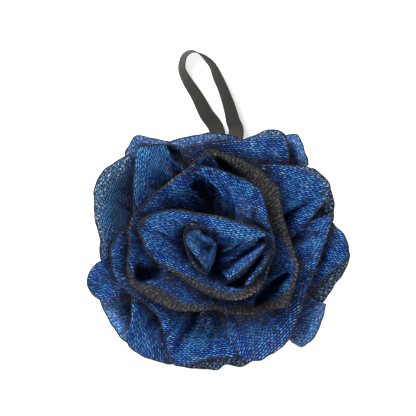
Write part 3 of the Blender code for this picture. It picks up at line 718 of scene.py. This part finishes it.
# Collar.
# One turn of the strip goes all the way round the inner rose. Its edge is the strip's
# selvage, knitted from dark thread alone and drawn into ribs.
COLLAR = (31, 0, 0, 0, [
    (-1, 77.5, 75, 2), (7, 75, 75, 2.4), (18.5, 71, 75, 2.4), (29.5, 66, 75, 2.2),
    (40.5, 58, 74, 1.8), (49, 49.5, 73, 1.6), (52.5, 38.5, 72, 1.5), (55, 25, 71, 1.5),
    (59, 11, 70, 1.6), (63.5, -2.5, 70, 1.6), (66, -14, 69, 1.6), (63.5, -25.5, 68, 1.6),
    (60.5, -36.5, 67, 1.5), (58, -44, 66, 1.2), (45, -45.5, 66, 1), (29.5, -49, 66, 0.9),
    (12.5, -48, 66, 0.8), (1, -45.5, 66, 0.7), (-12.5, -46.5, 67, 0.6), (-26.5, -46.5, 68, 0.6),
    (-40.5, -41, 69, 0.6), (-52.5, -34, 70, 0.8), (-62, -26.5, 70, 1.4), (-65, -15.5, 71, 1.9),
    (-64.5, 0, 72, 1.9), (-63.5, 14, 73, 1.5), (-60.5, 25.5, 74, 0.8), (-48, 39.5, 75, 0.6),
    (-34, 51, 75, 0.6), (-18.5, 63.5, 76, 0.7), (-7.5, 73.5, 76, 1)])
# The band is broad on the right and below, and turned under on the left.
COLLAR_BAND = (4, 6, 8, 9.5, 10, 10, 9, 7, 4, 2.5, 1.5, 2.5, 6, 8, 6.5, 4, 3, 2.5, 4, 7, 8, 7,
               2.5, 0.8, 0.6, 0.6, 0.6, 0.6, 0.6, 1.2, 3)
net_selvage = knitted_net(
    "knitted_pe_net_black_selvage", "#0d0c0a", "#5b5343", 1.9, 0.95, 0.04, 0.08)
petal_piece("collar", COLLAR, net_selvage, -30, 400, band=COLLAR_BAND, closed=True,
            roll=0.5, painted_light=0.1, dip=0.25)


# Inner rose.
# The last turns stand up round the bud and overlap each other.
INNER_PETALS = {
    "crest": (34, 0, -70, -30, [
        (-12.5, 60.5, 85, 0.7), (-7, 64.5, 85, 0.7), (4, 62.5, 85, 0.7), (17, 57.5, 85, 0.7),
        (28.5, 52.5, 85, 0.7), (36.5, 46.5, 84, 0.7), (41, 34, 84, 0.8), (44, 21.5, 84, 0.9),
        (48, 7.5, 83, 1), (48, -1.5, 82, 1), (43.5, -13, 81, 1), (40.5, -24, 80, 0.8),
        (34, -31.5, 80, 0.7)]),
    "cup": (36, -7, 0, 0, [
        (-43.5, 28.5, 84, 0.7), (-51, 25.5, 86, 0.65), (-56.5, 19.5, 88, 0.6),
        (-54, 9.5, 89, 0.5), (-49.5, -1, 89, 0.45), (-41, -9.5, 88, 0.45),
        (-31, -15.5, 88, 0.45), (-21, -22.5, 87, 0.45), (-11, -29.5, 86, 0.45),
        (1.5, -35, 85, 0.45), (15.5, -38, 84, 0.5), (27, -35.5, 84, 0.6), (35.5, -29.5, 83, 0.7),
        (39.5, -22.5, 82, 0.8)]),
    "fold_right": (41, 0, 0, 0, [
        (45, 0, 87, 0.6), (43.5, -6, 87, 0.55), (40, -12.5, 87, 0.5), (34, -20, 87, 0.45),
        (27, -27, 87, 0.4)]),
    "fold_inner": (44, 0, 0, 0, [
        (42, 5, 91, 0.6), (37, -2, 91, 0.55), (29.5, -9.5, 91, 0.5), (21, -17, 91, 0.45),
        (13, -23, 91, 0.4)]),
    "shell": (44, -9, 0, 0, [
        (-54, 21.5, 95, 0.45), (-47, 27, 96, 0.45), (-37, 30, 96, 0.45), (-25.5, 31, 96, 0.45),
        (-11.5, 28.5, 96, 0.5), (1, 26.5, 96, 0.45), (12.5, 24, 96, 0.45), (25, 20, 95, 0.45),
        (35.5, 16.5, 94, 0.5), (42.5, 12, 93, 0.6)]),
    "bud": (48, 0, 0, 0, [
        (1.5, 0, 93, 0.8), (0, 5.5, 97, 0.6), (-4.5, 7.5, 98, 0.5), (-7.5, 12.5, 99, 0.5),
        (-12.5, 18, 100, 0.5), (-18.5, 18, 100, 0.5), (-21.5, 12.5, 99, 0.5), (-20, 3, 98, 0.5),
        (-16.5, -6, 97, 0.5), (-11, -14, 95, 0.5), (-4, -18.5, 93, 0.6)]),
}
INNER_GRAINS = (-35, -35, 40, 40, -8, -50)
INNER_PAINTED_LIGHT = (0.0, 0.2, 0.2, 0.2, 0.6, 0.2)
CUP_BAND = (0.5, 0.5, 0.5, 0.5, 0.5, 1, 2, 3, 4, 4.5, 4.5, 4.5, 4, 3)
for number, (name, petal) in enumerate(INNER_PETALS.items()):
    petal_piece(name, petal, net_selvage if name == "cup" else net_plain, INNER_GRAINS[number],
                500 + 10 * number, band=CUP_BAND if name == "cup" else 0.0,
                ruffle=0.0003, fold=0.0009, roll=0.6, painted_light=INNER_PAINTED_LIGHT[number], dip=0.15)

# The bud's heart is the strip's end, rolled round a small eye.
BUD_ROLL = (93, -5, 0, 0, [
    (-20, 7, 99, 0.5), (-18.5, 13.5, 99, 0.5), (-13, 15.5, 99, 0.5), (-7, 12, 98, 0.5),
    (-0.5, 8.5, 97, 0.5), (3, 4, 96, 0.5), (2.5, -1.5, 95, 0.5), (1, -8.5, 94, 0.5),
    (-3.5, -16, 92, 0.5), (-8.8, -9, 96, 0.5), (-15.5, 0, 98, 0.5)])
BUD_EYE = (-2.5, 1.5, 2.0)
petal_piece("bud_roll", BUD_ROLL, net_plain, -60, 600, closed=True, ruffle=0.0002, fold=0.0007,
            painted_light=0.2, tight=1.1, dip=0.2, heart=BUD_EYE)

# Painted shade: each turn is painted darker where the rim of a later turn lies over it, as the
# shade under that rim.
RIM_SHADE_WIDTH = 0.0050
RIM_SHADE_MOST = 0.9
for number, (piece, _) in enumerate(turns_of_net):
    spots = np.empty(len(piece.data.vertices) * 3, np.float32)
    piece.data.vertices.foreach_get("co", spots)
    spots = spots.reshape(-1, 3)
    near = np.full(len(spots), np.inf)
    for _, rim_line in turns_of_net[number + 1:]:
        for knot in rim_line[::3]:
            near = np.minimum(near, (spots[:, 0] - knot[0]) ** 2 + (spots[:, 1] - knot[1]) ** 2)
    layer = piece.data.attributes["crowd"]
    crowd = np.empty(len(spots), np.float32)
    layer.data.foreach_get("value", crowd)
    painted_shade_share = RIM_SHADE_MOST * np.exp(-near / RIM_SHADE_WIDTH ** 2)
    crowd = crowd + (1 - crowd) * painted_shade_share
    layer.data.foreach_set("value", crowd.astype(np.float32))


# Hanging loop.
# A length of black grosgrain ribbon, 8 mm wide, folded once. Its ends go behind the petals
# and are caught under the binding cord.
RIBBON_WIDTH = 0.0080
RIBBON_THICKNESS = 0.0006
RIBBON_END_RISE = 0.0056
RIBBON_LAYER_GAP = 0.0004
CLEARANCE = 0.0003
RIBBON_COLUMNS = 420
RIBBON_SIDES = 16
RIBBON_ROUTE = [
    (2.9, 55.7, 3.2, 20), (-2.9, 66.2, 3.6, 30), (-7.2, 74.4, 4.0, 43), (-11.5, 81.1, 4.2, 52),
    (-14.2, 86.4, 4.3, 62), (-14.5, 90.2, 4.4, 66), (-13.2, 94.1, 4.4, 70), (-10.1, 96.2, 4.5, 78),
    (-6.7, 95.5, 4.5, 90), (-2.9, 92.9, 4.5, 105), (0.5, 89.0, 4.4, 115), (2.9, 83.5, 4.3, 126),
    (5.3, 78.2, 4.3, 128), (8.2, 70.1, 4.3, 137), (10.1, 62.9, 4.2, 147), (11.5, 54.7, 4.2, 160)]

# Grosgrain: polyester woven with heavy cross threads, 0.5 mm apart and drawn at 0.9 mm so
# that they show. It looks matt, with a slight shine on each rib.
RIB_PITCH_MM = 0.9
black_grosgrain = bpy.data.materials.new("black_grosgrain")
black_grosgrain.use_nodes = True
tree = black_grosgrain.node_tree
shader = tree.nodes["Principled BSDF"]
place = add(tree, "ShaderNodeUVMap", uv_map="ribbon_mm")
split = add(tree, "ShaderNodeSeparateXYZ", {0: place})
turns = maths(tree, "MULTIPLY", split.outputs[0], 2 * math.pi / RIB_PITCH_MM)
rib = maths(tree, "SINE", turns)
rib = remap(tree, rib, (-1.0, 1.0))
grain = noise(tree, place, 1.6, 3.0)
dusk = blend(tree, rib, "#23221f", "#44433d")
dusk = blend(tree, grain, "#2c2b27", dusk)
tree.links.new(dusk.outputs["Result"], shader.inputs["Base Color"])
bump = add(tree, "ShaderNodeBump", {"Height": rib, "Distance": 0.00012, "Strength": 0.6})
tree.links.new(bump.outputs[0], shader.inputs["Normal"])
shader.inputs["Roughness"].default_value = 0.62
shader.inputs["Specular IOR Level"].default_value = 0.3

layer = RIBBON_THICKNESS + RIBBON_LAYER_GAP
first_y = GATHER_HALF_WIDTH + CLEARANCE + RIBBON_THICKNESS / 2
first_z = RIBBON_THICKNESS / 2 + CLEARANCE
second_y = first_y + layer
second_z = first_z + layer
bend = 2 * layer
ribbon_line = [
    (0.0, first_y, RIBBON_END_RISE, 0),
    (0.0, first_y, first_z + 1.5 * bend, 0),
    (0.0, first_y + 0.3 * bend, first_z + 0.3 * bend, 0),
    (0.0, first_y + 1.5 * bend, first_z, 0),
    (0.0, first_y + 5 * bend, first_z, 0),
    (0.0010, 0.0340, first_z + layer, 6)]
ribbon_line += [(x / 1000, y / 1000, z / 1000, roll) for x, y, z, roll in RIBBON_ROUTE]
ribbon_line += [
    (0.0040, 0.0340, second_z + layer, 172),
    (0.0, second_y + 4 * bend, second_z, 180),
    (0.0, second_y + bend, second_z, 180),
    (0.0, second_y + 0.2 * bend, second_z + 0.2 * bend, 180),
    (0.0, second_y, second_z + bend, 180),
    (0.0, second_y, RIBBON_END_RISE, 180)]
route = smooth_through(ribbon_line, RIBBON_COLUMNS)
spots = [Vector(sample[:3]) for sample in route]
ribbon_points = []
ribbon_map = []
run = 0.0
for index, sample in enumerate(route):
    ahead = spots[min(index + 1, len(spots) - 1)]
    behind = spots[max(index - 1, 0)]
    along = (ahead - behind).normalized()
    flat = Vector((along.x, along.y, 0.0))
    late = index > len(route) // 2
    if flat.length < 0.2:
        flat = Vector((0.0, -1.0 if late else 1.0, 0.0))
    flat.normalize()
    side = Vector((-flat.y, flat.x, 0.0))
    roll = math.radians(sample[3])
    lift = along.cross(side).normalized()
    across = (side * math.cos(roll) - lift * math.sin(roll)).normalized()
    face = across.cross(along).normalized()
    if index:
        run += (spots[index] - spots[index - 1]).length
    # A flat oval section, closed on itself.
    ring = []
    for turn in range(RIBBON_SIDES + 1):
        angle = 2 * math.pi * turn / RIBBON_SIDES
        wide = math.copysign(abs(math.cos(angle)) ** 0.5, math.cos(angle))
        thick = math.copysign(abs(math.sin(angle)) ** 0.5, math.sin(angle))
        ring.append(tuple(spots[index] + across * wide * RIBBON_WIDTH / 2
                          + face * thick * RIBBON_THICKNESS / 2))
    ribbon_points.append(ring)
    ribbon_map.append([(run * 1000, turn) for turn in range(RIBBON_SIDES + 1)])
ribbon_mesh = grid_mesh("ribbon_loop", np.array(ribbon_points),
                        {"ribbon_mm": np.array(ribbon_map)}, black_grosgrain, tube=True)
ribbon_loop = add_piece("ribbon_loop", ribbon_mesh, "hanging_loop")


# Binding cord.
# A thin black cord is drawn tight round the gathered middle and the ribbon's ends and knotted.
# It is twisted from three strands.
TIE_CORD_RADIUS = 0.0009
TIE_HEIGHT = 0.0037
TIE_KNOT_RADIUS = 0.0018
TIE_KNOT_LENGTH = 0.0046
TIE_STRANDS = 3
TIE_TWIST_PITCH = 0.0034
KNOT_STRAND_RADIUS = 0.0006
KNOT_COLUMNS = 40

# Twisted synthetic cord: matt black filaments that run at a slant in each strand.
black_cord = bpy.data.materials.new("black_twisted_cord")
black_cord.use_nodes = True
tree = black_cord.node_tree
shader = tree.nodes["Principled BSDF"]
place = add(tree, "ShaderNodeUVMap", uv_map="cord_mm")
fibre = add(tree, "ShaderNodeTexWave", {"Vector": place, "Scale": 1.4, "Distortion": 1.0},
            wave_type="BANDS", bands_direction="DIAGONAL")
shade = blend(tree, fibre.outputs["Fac"], "#15151a", "#2e2e34")
tree.links.new(shade.outputs["Result"], shader.inputs["Base Color"])
shader.inputs["Roughness"].default_value = 0.7

offset = CLEARANCE + TIE_CORD_RADIUS
stack = 2 * RIBBON_THICKNESS + RIBBON_LAYER_GAP + CLEARANCE
reach = GATHER_HALF_WIDTH + offset
round_corner = GATHER_CORNER + offset
loop_line = []
for quarter in range(4):
    sign_x = 1 if quarter in (0, 3) else -1
    sign_y = 1 if quarter in (0, 1) else -1
    for turn in np.linspace(0, math.pi / 2, 12):
        angle = math.pi / 2 * quarter + turn
        loop_line.append((
            sign_x * (reach - round_corner) + round_corner * math.cos(angle),
            sign_y * (reach - round_corner) + (stack if sign_y > 0 else 0.0)
            + round_corner * math.sin(angle), TIE_HEIGHT))
loop_line = smooth_through(loop_line, 300, closed=True)[:-1]
gaps = np.linalg.norm(np.roll(loop_line, -1, 0) - loop_line, axis=1)
loop_place = np.concatenate([[0.0], np.cumsum(gaps)])
loop_turns = round(loop_place[-1] / TIE_TWIST_PITCH)
tangent = np.roll(loop_line, -1, 0) - np.roll(loop_line, 1, 0)
tangent /= np.linalg.norm(tangent, axis=1, keepdims=True)
outside = np.cross(tangent, (0.0, 0.0, 1.0))
strand_radius = TIE_CORD_RADIUS * 0.5
for strand in range(TIE_STRANDS):
    turn = 2 * math.pi * (loop_place[:-1] / loop_place[-1] * loop_turns + strand / TIE_STRANDS)
    centre = loop_line + strand_radius * (
        outside * np.cos(turn)[:, None] + np.array([0, 0, 1.0]) * np.sin(turn)[:, None])
    around = np.linspace(0, 2 * math.pi, 11)
    tube = centre[:, None] + strand_radius * (
        outside[:, None] * np.cos(around)[None, :, None]
        + np.array([0, 0, 1.0]) * np.sin(around)[None, :, None])
    tube_map = np.stack(np.meshgrid(loop_place * 1000, around * strand_radius * 1000,
                                    indexing="ij"), axis=-1)
    strand_mesh = grid_mesh("binding_strand", tube, {"cord_mm": tube_map}, black_cord,
                            closed=True, tube=True)
    add_piece("binding_strand_%d" % (strand + 1), strand_mesh, "tie_cord")

# The knot: one thick turn over another, drawn flat.
knot_y = -(GATHER_HALF_WIDTH + CLEARANCE + TIE_KNOT_RADIUS)
for number, tilt in enumerate((0.55, -0.55)):
    around = np.linspace(0, 2 * math.pi, KNOT_COLUMNS + 1)
    inside_length = TIE_KNOT_LENGTH - 2 * KNOT_STRAND_RADIUS
    inside_radius = TIE_KNOT_RADIUS - KNOT_STRAND_RADIUS
    ring_line = np.stack([
        0.5 * inside_length * np.cos(around) * math.cos(tilt),
        0.45 * inside_radius * np.sin(around) * (1 + 0.6 * number) + knot_y,
        0.0009 * np.sin(around + tilt) + 0.35 * inside_length * np.cos(around)
        * math.sin(tilt) + TIE_HEIGHT], axis=-1)[:-1]
    forward = np.roll(ring_line, -1, 0) - np.roll(ring_line, 1, 0)
    forward /= np.linalg.norm(forward, axis=1, keepdims=True)
    beside = np.cross(forward, (0.3, 1.0, 0.2))
    beside /= np.linalg.norm(beside, axis=1, keepdims=True)
    upright = np.cross(forward, beside)
    section = np.linspace(0, 2 * math.pi, 13)
    tube = ring_line[:, None] + KNOT_STRAND_RADIUS * (
        beside[:, None] * np.cos(section)[None, :, None]
        + upright[:, None] * np.sin(section)[None, :, None])
    tube_map = np.stack(np.meshgrid(
        np.linspace(0, 14, KNOT_COLUMNS + 1), section * KNOT_STRAND_RADIUS * 1000,
        indexing="ij"), axis=-1)
    knot_mesh = grid_mesh("binding_knot", tube, {"cord_mm": tube_map}, black_cord,
                          closed=True, tube=True)
    add_piece("binding_knot_%d" % (number + 1), knot_mesh, "tie_cord")


bpy.context.view_layer.update()
